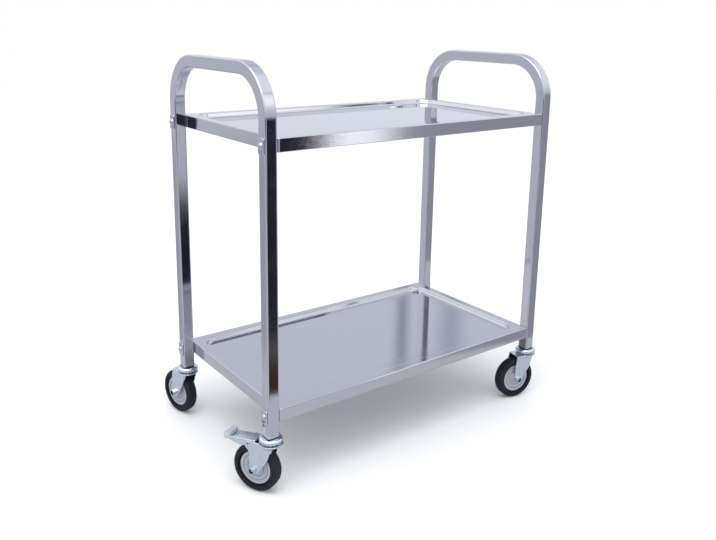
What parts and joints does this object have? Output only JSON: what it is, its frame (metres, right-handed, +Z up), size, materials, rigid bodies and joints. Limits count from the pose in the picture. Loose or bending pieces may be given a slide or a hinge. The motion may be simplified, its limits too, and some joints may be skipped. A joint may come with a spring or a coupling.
{
  "type": "serving trolley",
  "caption": "Serving trolley with sunk pan shelves between bent square tube end frames with push handles, on swivel casters with foot brakes.",
  "frame": {"origin": "floor level, at the middle of the footprint's box in the rest pose; the legs' rectangle is centred 27 mm from it towards -Y", "axes": "+X along the trolley's length towards the right-hand handle, +Y to the rear long side, +Z up"},
  "size_m": [0.8458, 0.4792, 0.829],
  "materials": {
    "stainless_tube": "polished stainless tube",
    "stainless_sheet": "satin stainless sheet",
    "bolt_steel": "bright steel",
    "zinc_steel": "bright zinc plate",
    "grey_plastic": "moulded grey plastic",
    "pale_plastic": "moulded pale grey plastic",
    "black_plastic": "moulded black plastic",
    "tyre_rubber": "moulded dark slate rubber",
    "black_rubber": "moulded black rubber"
  },
  "bodies": {
    "frame": {"left_end_frame": "stainless_tube", "right_end_frame": "stainless_tube", "upper_shelf": "stainless_sheet", "lower_shelf": "stainless_sheet", "upper_shelf_bolts": "bolt_steel", "upper_shelf_plates": "stainless_tube", "upper_shelf_nuts": "bolt_steel", "lower_shelf_bolts": "bolt_steel", "lower_shelf_plates": "stainless_tube", "lower_shelf_nuts": "bolt_steel", "rear_left_leg_plug": "black_plastic", "rear_left_stem": "zinc_steel", "rear_left_swivel_cup": "zinc_steel", "front_left_leg_plug": "black_plastic", "front_left_stem": "zinc_steel", "front_left_swivel_cup": "zinc_steel", "rear_right_leg_plug": "black_plastic", "rear_right_stem": "zinc_steel", "rear_right_swivel_cup": "zinc_steel", "front_right_leg_plug": "black_plastic", "front_right_stem": "zinc_steel", "front_right_swivel_cup": "zinc_steel"},
    "rear_left_swivel": {"rear_left_swivel_bearing": "zinc_steel", "rear_left_fork": "zinc_steel", "rear_left_axle_bolt": "zinc_steel", "rear_left_axle_nut": "zinc_steel", "rear_left_axle_sleeve": "zinc_steel"},
    "rear_left_wheel": {"rear_left_wheel_hub": "grey_plastic", "rear_left_wheel_tyre": "tyre_rubber"},
    "front_left_swivel": {"front_left_swivel_bearing": "zinc_steel", "front_left_fork": "zinc_steel", "front_left_axle_bolt": "zinc_steel", "front_left_axle_nut": "zinc_steel", "front_left_axle_sleeve": "zinc_steel", "front_left_brake_pin": "zinc_steel"},
    "front_left_wheel": {"front_left_wheel_hub": "grey_plastic", "front_left_wheel_tyre": "tyre_rubber"},
    "front_left_pedal": {"front_left_brake_pedal": "zinc_steel", "front_left_brake_tip": "pale_plastic", "front_left_brake_shoe": "black_rubber"},
    "rear_right_swivel": {"rear_right_swivel_bearing": "zinc_steel", "rear_right_fork": "zinc_steel", "rear_right_axle_bolt": "zinc_steel", "rear_right_axle_nut": "zinc_steel", "rear_right_axle_sleeve": "zinc_steel", "rear_right_brake_pin": "zinc_steel"},
    "rear_right_wheel": {"rear_right_wheel_hub": "grey_plastic", "rear_right_wheel_tyre": "tyre_rubber"},
    "rear_right_pedal": {"rear_right_brake_pedal": "zinc_steel", "rear_right_brake_tip": "pale_plastic", "rear_right_brake_shoe": "black_rubber"},
    "front_right_swivel": {"front_right_swivel_bearing": "zinc_steel", "front_right_fork": "zinc_steel", "front_right_axle_bolt": "zinc_steel", "front_right_axle_nut": "zinc_steel", "front_right_axle_sleeve": "zinc_steel"},
    "front_right_wheel": {"front_right_wheel_hub": "grey_plastic", "front_right_wheel_tyre": "tyre_rubber"}
  },
  "joints": [
    {"name": "rear_left_swivel_turn", "type": "hinge", "parent": "frame", "child": "rear_left_swivel", "pos_m": [-0.3625, 0.1605, 0.115], "axis": [0, 0, 1], "continuous": true},
    {"name": "rear_left_wheel_roll", "type": "hinge", "parent": "rear_left_swivel", "child": "rear_left_wheel", "pos_m": [-0.36879, 0.19086, 0.05], "axis": [-0.9792, -0.2028, 0], "continuous": true},
    {"name": "front_left_swivel_turn", "type": "hinge", "parent": "frame", "child": "front_left_swivel", "pos_m": [-0.3625, -0.2145, 0.115], "axis": [0, 0, 1], "continuous": true},
    {"name": "front_left_wheel_roll", "type": "hinge", "parent": "front_left_swivel", "child": "front_left_wheel", "pos_m": [-0.37705, -0.18713, 0.05], "axis": [-0.8829, -0.4695, 0], "continuous": true},
    {"name": "front_left_brake_press", "type": "hinge", "parent": "front_left_swivel", "child": "front_left_pedal", "pos_m": [-0.38222, -0.17741, 0.1044], "axis": [-0.8829, -0.4695, 0], "range_deg": [0, 12]},
    {"name": "rear_right_swivel_turn", "type": "hinge", "parent": "frame", "child": "rear_right_swivel", "pos_m": [0.3625, 0.1605, 0.115], "axis": [0, 0, 1], "continuous": true},
    {"name": "rear_right_wheel_roll", "type": "hinge", "parent": "rear_right_swivel", "child": "rear_right_wheel", "pos_m": [0.37705, 0.13313, 0.05], "axis": [0.8829, 0.4695, 0], "continuous": true},
    {"name": "rear_right_brake_press", "type": "hinge", "parent": "rear_right_swivel", "child": "rear_right_pedal", "pos_m": [0.38222, 0.12341, 0.1044], "axis": [0.8829, 0.4695, 0], "range_deg": [0, 12]},
    {"name": "front_right_swivel_turn", "type": "hinge", "parent": "frame", "child": "front_right_swivel", "pos_m": [0.3625, -0.2145, 0.115], "axis": [0, 0, 1], "continuous": true},
    {"name": "front_right_wheel_roll", "type": "hinge", "parent": "front_right_swivel", "child": "front_right_wheel", "pos_m": [0.33202, -0.20885, 0.05], "axis": [-0.1822, -0.9833, 0], "continuous": true}
  ]
}
